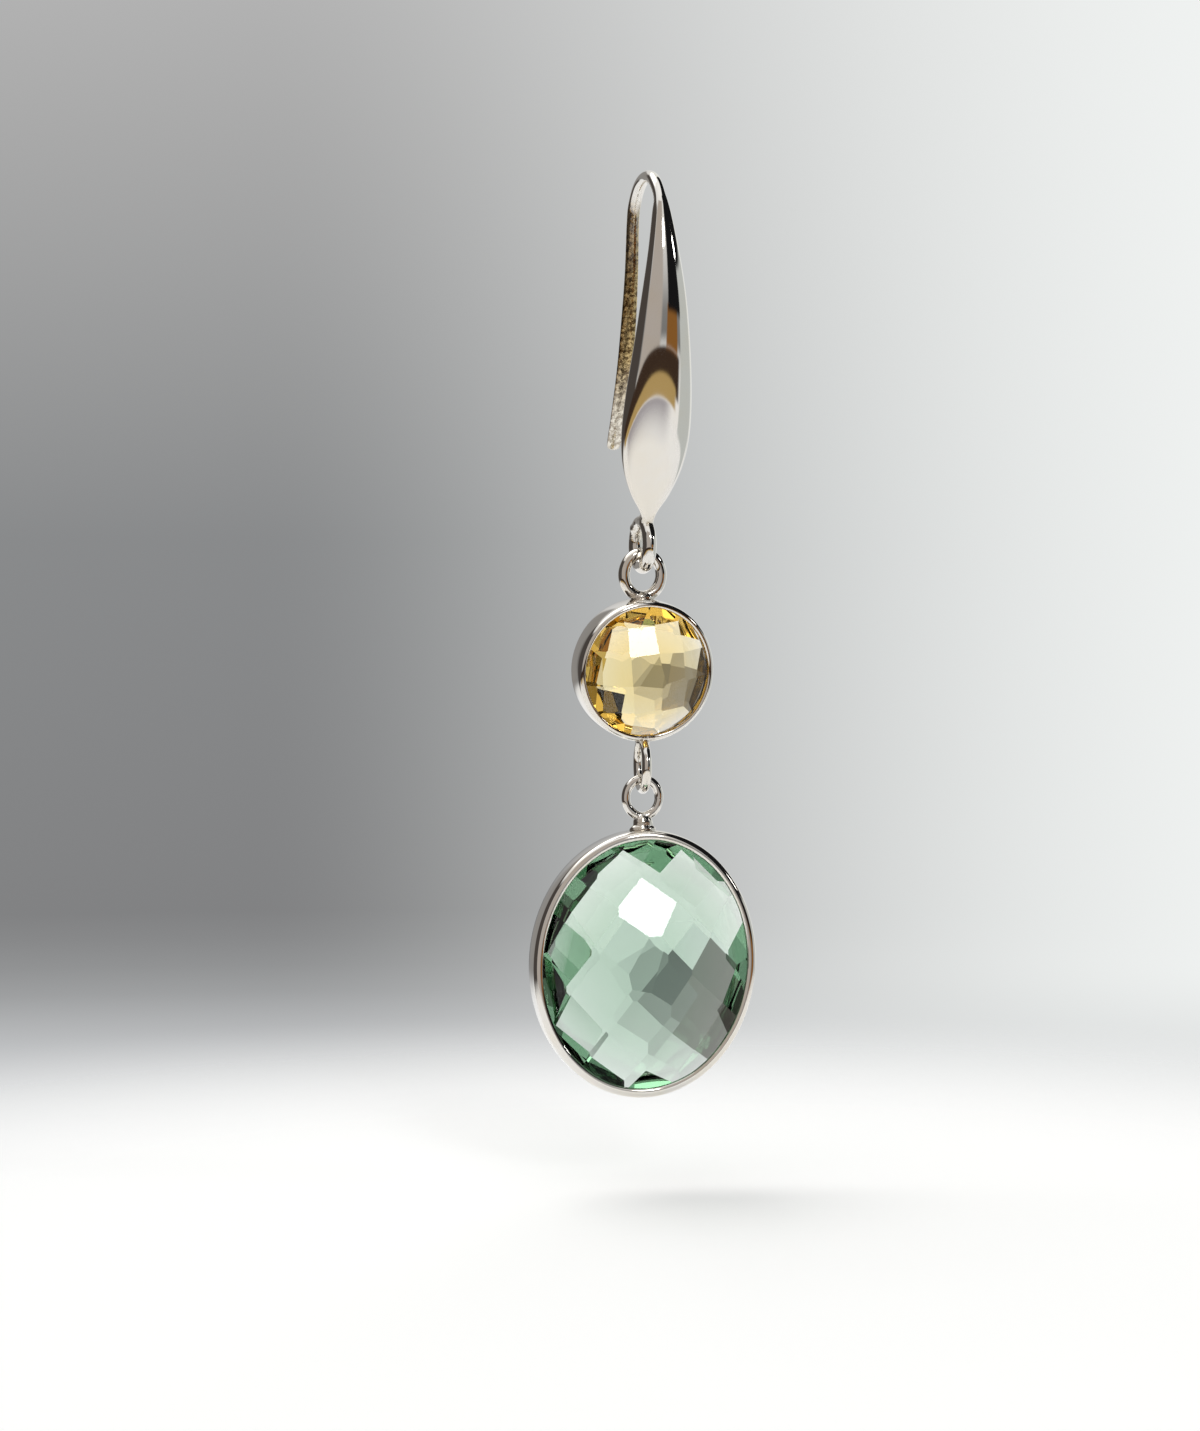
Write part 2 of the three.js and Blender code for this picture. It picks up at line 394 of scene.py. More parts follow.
def new_piece(name, bm, material, smooth_angle=None):
    """An object with that mesh. Edges sharper than smooth_angle stay crisp; None is flat all over."""
    mesh = bpy.data.meshes.new(name)
    bmesh.ops.recalc_face_normals(bm, faces=bm.faces)
    bm.to_mesh(mesh)
    bm.free()
    piece = bpy.data.objects.new(name, mesh)
    bpy.context.scene.collection.objects.link(piece)
    mesh.materials.append(material)
    if smooth_angle is not None:
        mesh.shade_smooth()
        mesh.set_sharp_from_angle(angle=smooth_angle)
    return piece


def skin(bm, rings, closed):
    """Faces between neighbouring rings of points. closed joins the last ring to the first."""
    rows = [[bm.verts.new(point) for point in ring] for ring in rings]
    count = len(rows[0])
    pairs = list(zip(rows, rows[1:] + rows[:1])) if closed else list(zip(rows, rows[1:]))
    for first, second in pairs:
        for i in range(count):
            j = (i + 1) % count
            bm.faces.new((first[i], first[j], second[j], second[i]))
    if not closed:
        bm.faces.new(rows[0])
        bm.faces.new(list(reversed(rows[-1])))


def spline(rows, names, steps):
    """Catmull-Rom values of the named columns, steps to each gap between rows."""
    out = []
    for i in range(len(rows) - 1):
        before, start = rows[max(i - 1, 0)], rows[i]
        end, after = rows[i + 1], rows[min(i + 2, len(rows) - 1)]
        for k in range(steps):
            t = k / steps
            point = {}
            for name in names:
                p0, p1, p2, p3 = before[name], start[name], end[name], after[name]
                slope_in, slope_out = (p2 - p0) / 2, (p3 - p1) / 2
                cube, square = t**3, t**2
                point[name] = (
                    (2 * cube - 3 * square + 1) * p1
                    + (cube - 2 * square + t) * slope_in
                    + (3 * square - 2 * cube) * p2
                    + (cube - square) * slope_out
                )
            out.append(point)
    out.append({name: rows[-1][name] for name in names})
    return out


RIPPLE_WAVES = (2, 3, 5, 8, 13)  # how many go once round
UNEVEN_WIRE = 0.022  # of the wire's thickness
UNEVEN_PRESS = 0.028 * MM  # of a bezel's lip
UNEVEN_BAND = 0.012 * MM  # of a bezel's outside


def ripple(angle, seed, size):
    """A slow unevenness round a ring, as a hand-worked edge has."""
    draw = random.Random(seed)
    total = 0.0
    for waves in RIPPLE_WAVES:
        total += math.sin(waves * angle + draw.uniform(0, math.tau)) / waves**0.7
    return total * size


def wire_ring(width, height, wire, centre, turn, seed, steps=96, sides=24):
    """A closed ring of round wire in the XZ plane, turned about Z, slightly uneven.

    width and height are radii of the wire's centre line, and wire is the wire's own.
    """
    bm = bmesh.new()
    place = Matrix.Translation(centre) @ Matrix.Rotation(turn, 4, "Z")
    rings = []
    for i in range(steps):
        angle = math.tau * i / steps
        thick = wire * (1 + ripple(angle, seed, UNEVEN_WIRE))
        out = Vector((math.cos(angle), 0, math.sin(angle)))
        middle = Vector((width * math.cos(angle), 0, height * math.sin(angle)))
        ring = []
        for k in range(sides):
            around = math.tau * k / sides
            offset = out * math.cos(around) + Vector((0, 1, 0)) * math.sin(around)
            ring.append(place @ (middle + offset * thick))
        rings.append(ring)
    skin(bm, rings, closed=True)
    return bm


def blob(centre, radii, seed, uneven=0.05):
    """A small lump of solder."""
    bm = bmesh.new()
    bmesh.ops.create_icosphere(bm, subdivisions=4, radius=1.0)
    draw = random.Random(seed)
    waves = [(Vector([draw.uniform(-3, 3) for _ in range(3)]), draw.uniform(0, 6)) for _ in range(5)]
    for vert in bm.verts:
        swell = 1 + uneven * sum(math.sin(vert.co.dot(way) + phase) for way, phase in waves) / 2
        vert.co = Vector([c * r * swell for c, r in zip(vert.co, radii)]) + centre
    return bm


def gathered(parts):
    """One bmesh holding the given ones."""
    whole = bmesh.new()
    for part in parts:
        mesh = bpy.data.meshes.new("part")
        part.to_mesh(mesh)
        part.free()
        whole.from_mesh(mesh)
        bpy.data.meshes.remove(mesh)
    return whole


def through_modifiers(bm, modifiers):
    """The bmesh after a row of modifiers, given as (type, settings)."""
    bmesh.ops.recalc_face_normals(bm, faces=bm.faces)
    mesh = bpy.data.meshes.new("working")
    bm.to_mesh(mesh)
    bm.free()
    working = bpy.data.objects.new("working", mesh)
    bpy.context.scene.collection.objects.link(working)
    for kind, settings in modifiers:
        modifier = working.modifiers.new(kind, kind)
        for name, value in settings.items():
            setattr(modifier, name, value)
    depsgraph = bpy.context.evaluated_depsgraph_get()
    result = bpy.data.meshes.new_from_object(working.evaluated_get(depsgraph))
    out = bmesh.new()
    out.from_mesh(result)
    bpy.data.objects.remove(working)
    bpy.data.meshes.remove(mesh)
    bpy.data.meshes.remove(result)
    return out


def flowed(parts, voxel, rounds):
    """Parts melted into one smooth surface, as solder leaves them."""
    return through_modifiers(
        gathered(parts),
        (
            ("REMESH", {"mode": "VOXEL", "voxel_size": voxel, "use_smooth_shade": True}),
            ("SMOOTH", {"factor": 0.5, "iterations": rounds}),
        ),
    )


def joined(first, second):
    """The boolean union of two closed bmeshes."""
    mesh = bpy.data.meshes.new("tool")
    bmesh.ops.recalc_face_normals(second, faces=second.faces)
    second.to_mesh(mesh)
    second.free()
    tool = bpy.data.objects.new("tool", mesh)
    bpy.context.scene.collection.objects.link(tool)
    union = {"operation": "UNION", "solver": "EXACT", "object": tool}
    out = through_modifiers(first, (("BOOLEAN", union),))
    bpy.data.objects.remove(tool)
    bpy.data.meshes.remove(mesh)
    return out


# Lumps of solder, each with its own seed. at is from the centre of the hook's ring, and above is
# how far out from the edge of a bezel.
HOOK_LUMPS = (
    {"at": (0, 1.05, 1.0), "radii": (0.5, 0.5, 0.46), "seed": 5},
    {"at": (0, -0.75, 1.5), "radii": (0.46, 0.5, 0.6), "seed": 6},
)
ROUND_FOOT = {"above": 0.1, "radii": (0.8, 0.5, 0.34), "seed": 13}
ROUND_HEEL = {"above": 0.08, "radii": (0.42, 0.75, 0.3), "seed": 15}
OVAL_NECK = {"above": 0.4, "radii": (0.64, 0.5, 0.66), "seed": 23}
OVAL_FOOT = {"above": 0.02, "radii": (0.84, 0.58, 0.42), "seed": 24}
# Where the metal is dull from soldering, and how far round.
HOOK_DULL = ({"at": (0, 1.05, 1.0), "radius": 1.2}, {"at": (0, -0.7, 1.5), "radius": 1.1})
ROUND_DULL = {"top": 1.3, "bottom": 1.2}
OVAL_DULL = {"above": 0.3, "radius": 1.5}


def lump(point, row):
    """A lump of solder at a point, from a row of radii and seed."""
    return blob(point, [radius * MM for radius in row["radii"]], row["seed"])


# Ear hook


def hook_sections(sizes):
    """The rows of the whole hook, from the leaf's tip over the bend to the tail's end."""
    bend = []
    for degrees in BEND_DEGREES:
        angle = math.radians(degrees)
        flare = degrees > FLARE["from_degrees"]
        wire = sizes.wire / MM
        radius = sizes.bend / MM
        bend.append(
            {
                "y": radius * math.cos(angle),
                "z": radius * math.sin(angle) - radius + wire,
                "half": FLARE["half"] if flare else wire,
                "front": FLARE["front"] if flare else wire,
                "back": wire,
            }
        )
    return (*LEAF_SECTIONS, *bend, *TAIL_SECTIONS)


def hook_body(sizes, sides=56, steps=12):
    """The leaf, bend and tail as one loft."""
    rows = spline(hook_sections(sizes), ("y", "z", "half", "front", "back"), steps)
    bm = bmesh.new()
    rings = []
    for i, row in enumerate(rows):
        before, after = rows[max(i - 1, 0)], rows[min(i + 1, len(rows) - 1)]
        along = Vector((0, after["y"] - before["y"], after["z"] - before["z"])).normalized()
        outward = LEFT_TO_RIGHT.cross(along)
        spine = Vector((0, row["y"], row["z"]))
        ring = []
        for k in range(sides):
            angle = math.tau * k / sides
            stand = row["front"] if math.sin(angle) > 0 else row["back"]
            aside = LEFT_TO_RIGHT * row["half"] * math.cos(angle)
            ring.append((spine + aside + outward * stand * math.sin(angle)) * MM)
        rings.append(ring)
    skin(bm, rings, closed=False)
    return bm


class EARRING_OT_hook(bpy.types.Operator):
    """Build the ear hook: leaf, bend, tail and the ring under the leaf's tip"""

    bl_idname = "earring.hook"
    bl_label = "Ear Hook"

    def execute(self, context):
        sizes = context.scene.earring_sizes
        centre = ROUND_PIVOT + Vector((0, 0, sizes.hook_ring))
        radius, wire = sizes.hook_ring, sizes.hook_ring_wire
        ring = wire_ring(radius, radius, wire, centre, math.pi / 2, seed=3)
        lumps = [lump(centre + Vector(row["at"]) * MM, row) for row in HOOK_LUMPS]
        soldered = flowed((ring, *lumps), voxel=0.045 * MM, rounds=6)
        bm = joined(hook_body(sizes), soldered)
        spots = [(centre + Vector(row["at"]) * MM, row["radius"] * MM) for row in HOOK_DULL]
        material = polished_metal("hook_metal", spots, CAST_FROM_Y)
        piece = new_piece("ear_hook_finish", bm, material, smooth_angle=math.radians(42))
        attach(piece, "hook")
        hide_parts("ear_hook")
        return {"FINISHED"}


# Settings


# The lip in section, from its edge on the stone round to the band's outside: how far in from the
# outside it lies, as a share of its width, and how far from the bezel's face, as a share of its fold.
LIP_SECTION = (
    {"inward": 0.98, "deep": 0.72},
    {"inward": 1.0, "deep": 0.42},
    {"inward": 0.93, "deep": 0.14},
    {"inward": 0.78, "deep": 0.01},
    {"inward": 0.58, "deep": 0.0},
    {"inward": 0.38, "deep": 0.08},
    {"inward": 0.2, "deep": 0.28},
    {"inward": 0.08, "deep": 0.62},
    {"inward": 0.01, "deep": 1.1},
    {"inward": 0.0, "deep": 1.7},
)
# The middle of the band stands out a little, over this share of its depth.
BAND_SWELL = {"out": 0.01 * MM, "share": 0.4}


def bezel(a, b, depth, wall, lip, fold, place, seed, steps=208):
    """An oval band whose front and back lips are pressed over the stone by hand."""
    half = depth / 2
    front = [
        (-wall, -half + fold),
        *((-lip * row["inward"], -half + fold * row["deep"]) for row in LIP_SECTION),
        (BAND_SWELL["out"], -half * BAND_SWELL["share"]),
    ]
    outline = [*front, *((out, -y) for out, y in reversed(front))]
    bm = bmesh.new()
    rings = []
    for i in range(steps):
        angle = math.tau * i / steps
        press = ripple(angle, seed, UNEVEN_PRESS)
        swell = ripple(angle, seed + 1, UNEVEN_BAND)
        ring = []
        for out, y in outline:
            lipped = max(0.0, min(1.0, -out / lip)) if abs(y) > half - fold else 0.0
            reach = out + swell + press * lipped
            deep = y + (press * 0.5 * math.copysign(1.0, y) * lipped)
            point = Vector(((a + reach) * math.cos(angle), deep, (b + reach) * math.sin(angle)))
            ring.append(place @ point)
        rings.append(ring)
    skin(bm, rings, closed=True)
    return bm


# Each bezel's outside half-width a and half-height b, its wall, how far its lip reaches in and
# folds back, and the gap round its stone. Below them, the radii of the rings' centre lines.
ROUND = {"a": 4.5, "b": 4.55, "wall": 0.28, "lip": 0.43, "fold": 0.34, "gap": 0.08}
OVAL = {"a": 7.25, "b": 8.58, "wall": 0.33, "lip": 0.62, "fold": 0.36, "gap": 0.08}
ROUND_RING = {"width": 1.24, "height": 1.38, "wire": 0.37}
LOWER_RING = {"radius": 1.52, "wire": 0.31}
OVAL_RING = {"width": 1.08, "height": 1.2, "wire": 0.29}
SOLDER_VOXEL = 0.04 * MM
BEZEL_EDGE = math.radians(40)  # sharper edges stay crisp


def stone_centre(node):
    """The middle of a stone, straight below the hook's ring."""
    low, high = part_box(node)
    return Vector((0, ROUND_PIVOT.y, (low.z + high.z) / 2))


def bezel_place(node, turn, tip, roll):
    """Where a bezel and its stone stand: their centre, turn about Z, tip about X and roll about Y."""
    lean = Matrix.Rotation(tip, 4, "X") @ Matrix.Rotation(roll, 4, "Y")
    return Matrix.Translation(stone_centre(node)) @ Matrix.Rotation(turn, 4, "Z") @ lean


def round_place(sizes):
    return bezel_place("round_stone", 0.0, sizes.round_tip, 0.0)


def oval_place(sizes):
    return bezel_place("oval_stone", OVAL_TURN, sizes.oval_tip, sizes.oval_roll)


def band_sizes(shape):
    """What bezel() takes of a bezel's row, in metres."""
    return {name: shape[name] * MM for name in ("a", "b", "wall", "lip", "fold")}


class EARRING_OT_settings(bpy.types.Operator):
    """Build the two bezels with their soldered rings"""

    bl_idname = "earring.settings"
    bl_label = "Settings"

    def execute(self, context):
        self.round_setting(context.scene.earring_sizes)
        self.oval_setting(context.scene.earring_sizes)
        return {"FINISHED"}

    def round_setting(self, sizes):
        centre = stone_centre("round_stone")
        place = round_place(sizes)
        band = bezel(depth=sizes.round_depth, place=place, seed=11, **band_sizes(ROUND))
        bottom, top = (corner.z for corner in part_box("round_setting"))
        reach = (ROUND_RING["height"] + ROUND_RING["wire"]) * MM
        ring_centre = Vector((0, centre.y, top - reach))
        ring = wire_ring(
            ROUND_RING["width"] * MM,
            ROUND_RING["height"] * MM,
            ROUND_RING["wire"] * MM,
            ring_centre,
            0.0,
            seed=12,
        )
        foot_z = centre.z + (ROUND["b"] + ROUND_FOOT["above"]) * MM
        foot = lump(Vector((0, centre.y, foot_z)), ROUND_FOOT)
        upper = flowed((ring, foot), voxel=SOLDER_VOXEL, rounds=6)
        lower_z = bottom + (LOWER_RING["radius"] + LOWER_RING["wire"]) * MM
        lower = wire_ring(
            LOWER_RING["radius"] * MM,
            LOWER_RING["radius"] * MM,
            LOWER_RING["wire"] * MM,
            Vector((0, centre.y, lower_z)),
            math.pi / 2 + OVAL_TURN,
            seed=14,
        )
        heel_z = centre.z - (ROUND["b"] + ROUND_HEEL["above"]) * MM
        heel = lump(Vector((0, centre.y, heel_z)), ROUND_HEEL)
        under = flowed((lower, heel), voxel=SOLDER_VOXEL, rounds=6)
        bm = joined(joined(band, upper), under)
        spots = (
            (Vector((0, centre.y, centre.z + ROUND["b"] * MM)), ROUND_DULL["top"] * MM),
            (Vector((0, centre.y, centre.z - ROUND["b"] * MM)), ROUND_DULL["bottom"] * MM),
        )
        material = polished_metal("round_metal", spots)
        piece = new_piece("round_setting_finish", bm, material, smooth_angle=BEZEL_EDGE)
        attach(piece, "round_drop")
        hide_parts("round_setting")

    def oval_setting(self, sizes):
        centre = stone_centre("oval_stone")
        place = oval_place(sizes)
        band = bezel(depth=sizes.oval_depth, place=place, seed=21, steps=256, **band_sizes(OVAL))
        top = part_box("oval_setting")[1].z
        ring_centre = Vector((0, centre.y, top - (OVAL_RING["height"] + OVAL_RING["wire"]) * MM))
        ring = wire_ring(
            OVAL_RING["width"] * MM,
            OVAL_RING["height"] * MM,
            OVAL_RING["wire"] * MM,
            ring_centre,
            OVAL_TURN,
            seed=22,
        )
        crown = centre.z + OVAL["b"] * MM
        neck = lump(Vector((0, centre.y, crown + OVAL_NECK["above"] * MM)), OVAL_NECK)
        foot = lump(Vector((0, centre.y, crown + OVAL_FOOT["above"] * MM)), OVAL_FOOT)
        upper = flowed((ring, neck, foot), voxel=SOLDER_VOXEL, rounds=7)
        bm = joined(band, upper)
        dull = Vector((0, centre.y, crown + OVAL_DULL["above"] * MM))
        material = polished_metal("oval_metal", ((dull, OVAL_DULL["radius"] * MM),))
        piece = new_piece("oval_setting_finish", bm, material, smooth_angle=BEZEL_EDGE)
        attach(piece, "oval_drop")
        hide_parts("oval_setting")


# Stones

# A stone's edge has this many sides and a straight band, the girdle. Each face is a dome as high as
# its crown, from the middle of the girdle, which falls off with this power of the way to the edge.
# Its facets lie on a lattice: step and other lead from one facet to the next, and start is the one
# nearest the middle, each as (right, up).
ROUND_CUT = {
    "sides": 40,
    "girdle": 0.3,
    "front": {
        "crown": 2.1,
        "fall": 2.15,
        "step": (1.78, 0.12),
        "other": (-0.2, 1.8),
        "start": (-0.35, 0.25),
    },
    "back": {
        "crown": 1.4,
        "fall": 1.8,
        "step": (1.75, -0.3),
        "other": (0.35, 1.78),
        "start": (0.5, -0.55),
    },
}
OVAL_CUT = {
    "sides": 52,
    "girdle": 0.4,
    "front": {
        "crown": 2.95,
        "fall": 2.2,
        "step": (1.16, 2.48),
        "other": (-2.35, 1.84),
        "start": (0.91, -0.6),
    },
    "back": {
        "crown": 2.7,
        "fall": 2.1,
        "step": (1.4, 2.3),
        "other": (-2.15, 2.1),
        "start": (-0.4, 0.5),
    },
}
LATTICE_STEPS = range(-9, 10)
PAST_EDGE = 1.08  # facets whose middle lies further out than this don't reach the stone
FACET_WOBBLE = 0.012  # of each facet's slope, as hand cutting leaves it
WELD = 0.006 * MM
FLAT = math.radians(0.4)


def cut_plane(bm, point, normal):
    """Cuts away what lies beyond a plane and closes the cut with one facet."""
    geometry = [*bm.verts, *bm.edges, *bm.faces]
    result = bmesh.ops.bisect_plane(
        bm, geom=geometry, dist=1e-8, plane_co=point, plane_no=normal, clear_outer=True
    )
    edges = [item for item in result["geom_cut"] if isinstance(item, bmesh.types.BMEdge)]
    if len(edges) > 2:
        bmesh.ops.edgenet_fill(bm, edges=edges)


def hull_of(corners):
    """The closed convex solid on those corners, with one face for each flat facet."""
    bm = bmesh.new()
    for corner in corners:
        bm.verts.new(corner)
    hull = bmesh.ops.convex_hull(bm, input=bm.verts)
    inside = [item for item in hull["geom_interior"] if isinstance(item, bmesh.types.BMVert)]
    bmesh.ops.delete(bm, geom=inside, context="VERTS")
    bmesh.ops.dissolve_limit(bm, angle_limit=FLAT, verts=bm.verts, edges=bm.edges)
    return bm


def faceted_stone(shape, cut, place, seed):
    """An oval block cut by planes that lie on a dome, front and back: a chequer of facets."""
    a = (shape["a"] - shape["wall"] - shape["gap"]) * MM
    b = (shape["b"] - shape["wall"] - shape["gap"]) * MM
    front, back = cut["front"]["crown"] * MM, cut["back"]["crown"] * MM
    half_girdle = cut["girdle"] * MM / 2
    bm = bmesh.new()
    rim = [math.tau * i / cut["sides"] for i in range(cut["sides"])]
    rings = [[Vector((a * math.cos(t), y, b * math.sin(t))) for t in rim] for y in (-front, back)]
    skin(bm, rings, closed=False)
    draw = random.Random(seed)
    for side, face in ((-1, cut["front"]), (1, cut["back"])):
        rise, fall = face["crown"] * MM - half_girdle, face["fall"]
        planes = []
        for i in LATTICE_STEPS:
            for j in LATTICE_STEPS:
                x = (face["start"][0] + i * face["step"][0] + j * face["other"][0]) * MM
                z = (face["start"][1] + i * face["step"][1] + j * face["other"][1]) * MM
                share = math.hypot(x / a, z / b)
                if share > PAST_EDGE:
                    continue
                height = half_girdle + rise * (1 - share**fall)
                steep = -rise * fall * share ** (fall - 2)
                slope = Vector((steep * x / a**2, steep * z / b**2))
                slope += Vector((draw.gauss(0, FACET_WOBBLE), draw.gauss(0, FACET_WOBBLE)))
                normal = Vector((-slope.x, side, -slope.y)).normalized()
                planes.append((share, Vector((x, side * height, z)), normal))
        for _, point, normal in sorted(planes, key=lambda plane: plane[0]):
            cut_plane(bm, point, normal)
    bmesh.ops.remove_doubles(bm, verts=bm.verts, dist=WELD)
    corners = [place @ vert.co for vert in bm.verts]
    bm.free()
    return hull_of(corners)


class EARRING_OT_stones(bpy.types.Operator):
    """Build the round yellow stone and the oval green stone"""

    bl_idname = "earring.stones"
    bl_label = "Stones"

    def execute(self, context):
        place = round_place(context.scene.earring_sizes)
        colours = context.scene.earring_colours
        look = clear_stone(
            "yellow_stone_look", tuple(colours.yellow), colours.yellow_depth, grain=240.0
        )
        piece = new_piece("round_stone_finish", faceted_stone(ROUND, ROUND_CUT, place, seed=31), look)
        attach(piece, "round_drop")
        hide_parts("round_stone")

        place = oval_place(context.scene.earring_sizes)
        look = clear_stone(
            "green_stone_look", tuple(colours.green), colours.green_depth, grain=160.0
        )
        piece = new_piece("oval_stone_finish", faceted_stone(OVAL, OVAL_CUT, place, seed=41), look)
        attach(piece, "oval_drop")
        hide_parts("oval_stone")
        return {"FINISHED"}


# Stage, light and camera


def sine(degrees):
    return math.sin(math.radians(degrees))


def cosine(degrees):
    return math.cos(math.radians(degrees))


# The stage's own sizes are in metres, and its angles in degrees.
FLOOR = {"radius": 0.3, "below": 6.0 * MM, "glow": 0.22}
FLOOR_FADE = {"centre_y": -0.022, "from": 0.04, "to": 0.105}  # of the floor into the backdrop
CAMERA = {
    "azimuth": -17,
    "elevation": 3,
    "distance": 0.2165,
    "aim_z": -33.8 * MM,
    "aim_left": 2.72 * MM,
    "lens": 85.0,
    "sensor": 36.0,
}

# What lies all round at each height, from straight below at 0 to straight above at 1: pale below,
# mid grey at eye level and soft light above.
HEIGHTS = (
    (0.0, (1.0, 1.0, 1.0)),
    (0.389, (1.0, 1.0, 1.0)),
    (0.398, (0.93, 0.94, 0.94)),
    (0.41, (0.84, 0.85, 0.86)),
    (0.418, (0.7, 0.71, 0.72)),
    (0.426, (0.52, 0.53, 0.54)),
    (0.435, (0.31, 0.315, 0.32)),
    (0.444, (0.22, 0.222, 0.226)),
    (0.5, (0.25, 0.255, 0.26)),
    (0.56, (0.4, 0.4, 0.4)),
    (0.7, (0.75, 0.75, 0.75)),
    (1.0, (1.1, 1.1, 1.1)),
)


def area(across, up, colour):
    """A window of directions, in degrees.

    across is its azimuth, half its width and the softness of its sides, where azimuth 0 is in
    front and 90 to the right. up is its low edge, its high edge and their blur.
    """
    azimuth, half, soft = across
    low, high, blur = up
    return {
        "toward": (sine(azimuth), -cosine(azimuth), 0.0),
        "sides": (cosine(half + soft), cosine(half)),
        "low": (sine(low - blur), sine(low)),
        "high": (sine(high + blur), sine(high)),
        "colour": colour,
    }


# The bright side of the backdrop, which the camera sees.
BRIGHT_SIDE = area(across=(134, 14, 21), up=(-7, 70, 4), colour=(0.9, 0.92, 0.91))
# What else stands round the earring. The camera doesn't see it, but it lights the earring and
# shows in its polish. Later areas lie over earlier ones.
SURROUNDINGS = (
    # Behind: a pale wall past the left and the dark of the room beyond it.
    area(across=(-166, 12, 5), up=(-5, 28, 6), colour=(0.3, 0.29, 0.28)),
    area(across=(-110, 42, 8), up=(-13, 34, 6), colour=(0.075, 0.065, 0.06)),
    # The room in front: a grey table, a warm wall on the left and a pale one on the right.
    area(across=(-24, 42, 24), up=(-89, -23, 1), colour=(0.42, 0.4, 0.43)),
    area(across=(-30, 26, 8), up=(-12, 48, 3), colour=(0.5, 0.455, 0.42)),
    area(across=(84, 26, 4), up=(-24, 16, 3), colour=(0.6, 0.63, 0.62)),
    # The table's dark edge, warm light on it and something amber on the right.
    area(across=(-27, 75, 8), up=(-18, -11, 1.6), colour=(0.05, 0.03, 0.02)),
    area(across=(-29, 70, 8), up=(-21.5, -18, 1.2), colour=(0.5, 0.35, 0.14)),
    area(across=(31, 13, 4), up=(-9, 1, 3), colour=(0.27, 0.12, 0.03)),
    # The dark of the room, front right and above.
    area(across=(38, 18, 4), up=(1.5, 64, 3), colour=(0.01, 0.01, 0.011)),
    area(across=(92, 42, 6), up=(17, 66, 3), colour=(0.01, 0.01, 0.011)),
    # Lamps: a small one, a window and a large soft one above.
    area(across=(60, 3, 1), up=(19, 24, 1), colour=(9.0, 9.0, 9.0)),
    area(across=(4, 5, 1.5), up=(26, 34, 1.5), colour=(12.0, 12.0, 12.0)),
    area(across=(-150, 36, 10), up=(50, 78, 6), colour=(3.2, 3.15, 3.05)),
)


def laid_over(graph, level, up, behind, row):
    """The colours behind, with one area laid over them."""
    facing = graph.vector_math("DOT_PRODUCT", level, row["toward"], "Value")
    inside = facing.smooth(*row["sides"]) * up.smooth(*row["low"]) * up.smooth(*row["high"])
    return graph.mix(inside, behind, rgba(row["colour"]))


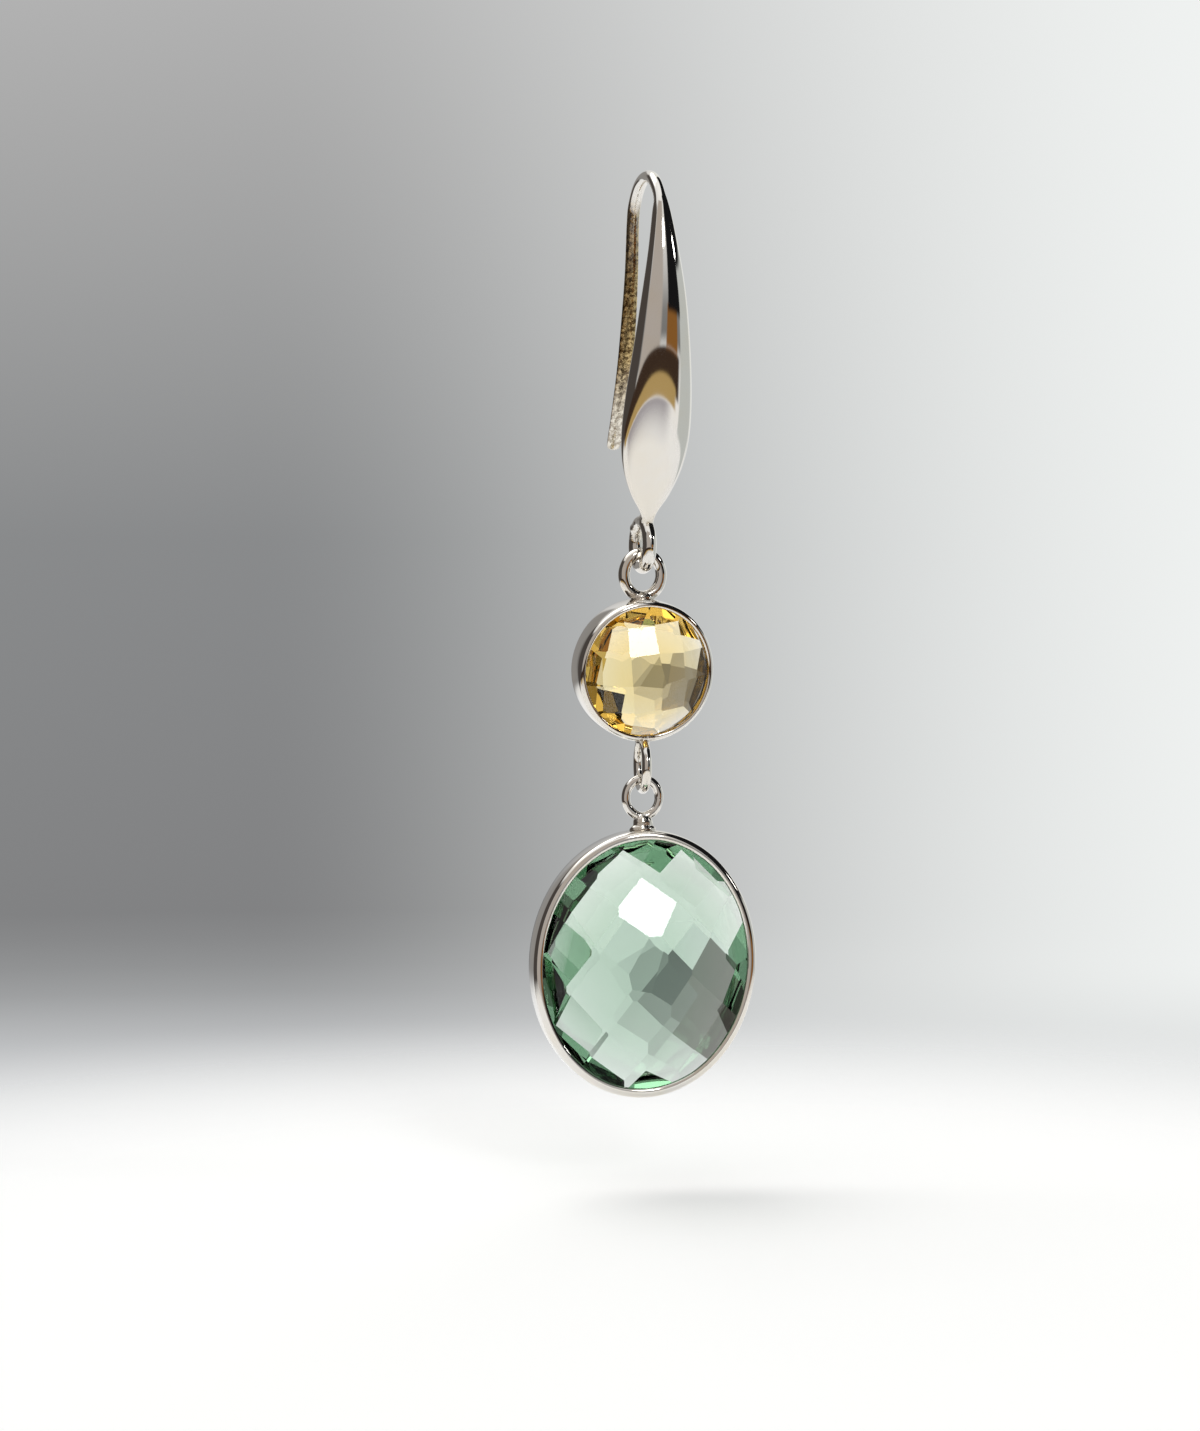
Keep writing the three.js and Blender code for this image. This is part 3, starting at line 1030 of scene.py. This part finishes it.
class EARRING_OT_stage(bpy.types.Operator):
    """Build the floor, the light round the scene and the camera"""

    bl_idname = "earring.stage"
    bl_label = "Stage"

    def execute(self, context):
        self.floor(context)
        self.surroundings(context)
        self.camera(context)
        context.scene.view_settings.view_transform = "Standard"
        return {"FINISHED"}

    def floor(self, context):
        low = CAD_BOX[0]
        bm = bmesh.new()
        bmesh.ops.create_circle(bm, cap_ends=True, segments=96, radius=FLOOR["radius"])
        bmesh.ops.translate(bm, vec=Vector((0, 0, low.z - FLOOR["below"])), verts=bm.verts)
        material = bpy.data.materials.new("pale_floor")
        material.use_nodes = True
        graph = Graph(material.node_tree)
        place = graph.place()
        middle = (0, FLOOR_FADE["centre_y"], low.z)
        far = graph.vector_math("DISTANCE", place, middle, "Value")
        fade = far.smooth(FLOOR_FADE["from"], FLOOR_FADE["to"])
        colour = rgba(context.scene.earring_colours.floor)
        diffuse = graph.add("ShaderNodeBsdfDiffuse", {}, {"Color": colour})
        glow = {"Color": (1, 1, 1, 1), "Strength": FLOOR["glow"]}
        lit = graph.add("ShaderNodeEmission", {}, glow)
        both = graph.add("ShaderNodeAddShader", {}, {0: diffuse, 1: lit})
        clear = graph.add("ShaderNodeBsdfTransparent")
        faded = graph.add("ShaderNodeMixShader", {}, {0: fade, 1: both, 2: clear})
        graph.add("ShaderNodeOutputMaterial", {}, {"Surface": faded})
        floor = new_piece("floor", bm, material)

    def surroundings(self, context):
        world = bpy.data.worlds.new("studio")
        context.scene.world = world
        world.use_nodes = True
        graph = Graph(world.node_tree)
        way = graph.add("ShaderNodeTexCoord", {}, {}, "Generated")
        up = graph.part(way, "Z")
        around = graph.add("ShaderNodeValToRGB", {"stops": HEIGHTS}, {"Fac": up * 0.5 + 0.5})
        flat = graph.scaled(way, (1.0, 1.0, 0.0))
        level = graph.add("ShaderNodeVectorMath", {"operation": "NORMALIZE"}, {0: flat})
        backdrop = around = laid_over(graph, level, up, around, BRIGHT_SIDE)
        for row in SURROUNDINGS:
            around = laid_over(graph, level, up, around, row)
        seen = graph.add("ShaderNodeLightPath", {}, {}, "Is Camera Ray")
        shown = graph.mix(seen, around, backdrop)
        light = graph.add("ShaderNodeBackground", {}, {"Color": shown, "Strength": 1.0})
        graph.add("ShaderNodeOutputWorld", {}, {"Surface": light})

    def camera(self, context):
        azimuth, elevation = CAMERA["azimuth"], CAMERA["elevation"]
        level = cosine(elevation)
        back = Vector((sine(azimuth) * level, -cosine(azimuth) * level, sine(elevation)))
        right = Vector((cosine(azimuth), sine(azimuth), 0))
        aim = Vector((0, ROUND_PIVOT.y, CAMERA["aim_z"])) - right * CAMERA["aim_left"]
        data = bpy.data.cameras.new("camera")
        data.lens = CAMERA["lens"]
        data.sensor_width = CAMERA["sensor"]
        data.clip_start = 0.01
        data.clip_end = 10.0
        camera = bpy.data.objects.new("camera", data)
        context.scene.collection.objects.link(camera)
        camera.location = aim + back * CAMERA["distance"]
        camera.rotation_euler = (-back).to_track_quat("-Z", "Y").to_euler()
        context.scene.camera = camera


# Panel and registration


class EARRING_PT_panel(bpy.types.Panel):
    """Build the earring piece by piece"""

    bl_idname = "EARRING_PT_panel"
    bl_label = "Drop Earring"
    bl_space_type = "VIEW_3D"
    bl_region_type = "UI"
    bl_category = "Earring"

    def draw(self, context):
        for settings in (context.scene.earring_sizes, context.scene.earring_colours):
            box = self.layout.box()
            for name in settings.__annotations__:
                box.prop(settings, name)
        for operator in OPERATORS:
            self.layout.operator(operator.bl_idname)


OPERATORS = (EARRING_OT_hook, EARRING_OT_settings, EARRING_OT_stones, EARRING_OT_stage)
CLASSES = (EarringSizes, EarringColours, *OPERATORS, EARRING_PT_panel)


def register():
    for cls in CLASSES:
        bpy.utils.register_class(cls)
    bpy.types.Scene.earring_sizes = PointerProperty(type=EarringSizes)
    bpy.types.Scene.earring_colours = PointerProperty(type=EarringColours)


def unregister():
    del bpy.types.Scene.earring_colours
    del bpy.types.Scene.earring_sizes
    for cls in reversed(CLASSES):
        bpy.utils.unregister_class(cls)


def main():
    register()
    bpy.ops.earring.hook()
    bpy.ops.earring.settings()
    bpy.ops.earring.stones()
    bpy.ops.earring.stage()


if __name__ == "__main__":
    main()
